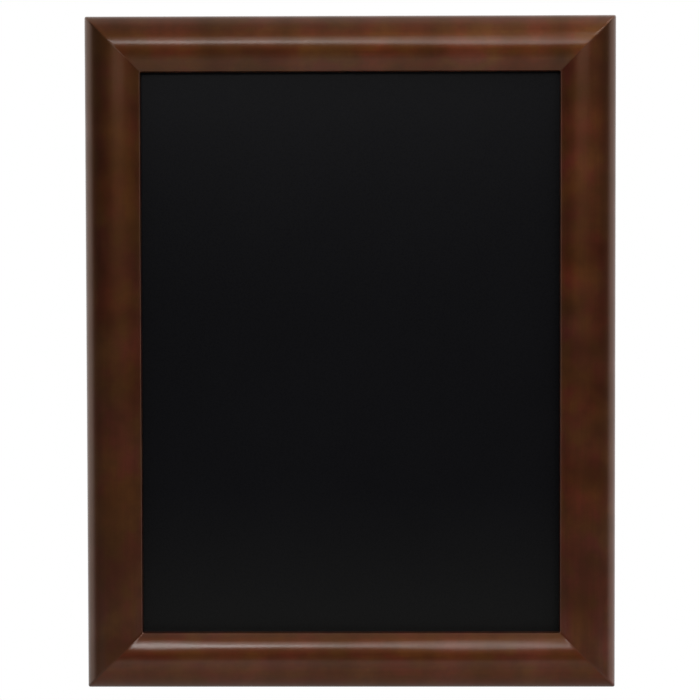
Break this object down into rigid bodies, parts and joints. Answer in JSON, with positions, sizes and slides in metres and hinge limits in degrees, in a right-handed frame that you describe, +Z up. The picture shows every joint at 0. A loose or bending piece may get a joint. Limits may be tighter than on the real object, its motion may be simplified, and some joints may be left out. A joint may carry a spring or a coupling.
{
  "type": "wall chalkboard",
  "caption": "Upright black writing panel in a mitred, dark lacquered half-round wood frame, hung on the wall by two swinging D-rings.",
  "frame": {"origin": "middle of the board on the wall plane, which the bumpers touch", "axes": "+Z up along the wall, +Y into the wall, +X to the right of someone who faces the board"},
  "size_m": [0.379, 0.0241, 0.481],
  "materials": {
    "stained_wood": "dark reddish brown stain under gloss lacquer",
    "chalkboard_panel": "matt black writing coat on hardboard",
    "plated_steel": "bright zinc plate",
    "bumper_rubber": "matt"
  },
  "bodies": {
    "frame": {"top_rail": "stained_wood", "right_stile": "stained_wood", "bottom_rail": "stained_wood", "left_stile": "stained_wood", "writing_panel": "chalkboard_panel", "v_nail_top_left_outer": "plated_steel", "v_nail_top_left_inner": "plated_steel", "v_nail_top_right_outer": "plated_steel", "v_nail_top_right_inner": "plated_steel", "v_nail_bottom_left_outer": "plated_steel", "v_nail_bottom_left_inner": "plated_steel", "v_nail_bottom_right_outer": "plated_steel", "v_nail_bottom_right_inner": "plated_steel", "retaining_point_top_rail_1": "plated_steel", "retaining_point_top_rail_2": "plated_steel", "retaining_point_right_stile_1": "plated_steel", "retaining_point_right_stile_2": "plated_steel", "retaining_point_right_stile_3": "plated_steel", "retaining_point_bottom_rail_1": "plated_steel", "retaining_point_bottom_rail_2": "plated_steel", "retaining_point_left_stile_1": "plated_steel", "retaining_point_left_stile_2": "plated_steel", "retaining_point_left_stile_3": "plated_steel", "left_hanger_strap": "plated_steel", "left_hanger_screw": "plated_steel", "right_hanger_strap": "plated_steel", "right_hanger_screw": "plated_steel", "left_bumper": "bumper_rubber", "right_bumper": "bumper_rubber"},
    "left_ring": {"left_hanger_ring": "plated_steel"},
    "right_ring": {"right_hanger_ring": "plated_steel"}
  },
  "joints": [
    {"name": "left_ring_swing", "type": "hinge", "parent": "frame", "child": "left_ring", "pos_m": [-0.173, -0.00225, 0.1505], "axis": [-1, 0, 0], "range_deg": [-4, 164]},
    {"name": "right_ring_swing", "type": "hinge", "parent": "frame", "child": "right_ring", "pos_m": [0.173, -0.00225, 0.1505], "axis": [-1, 0, 0], "range_deg": [-4, 164]}
  ]
}
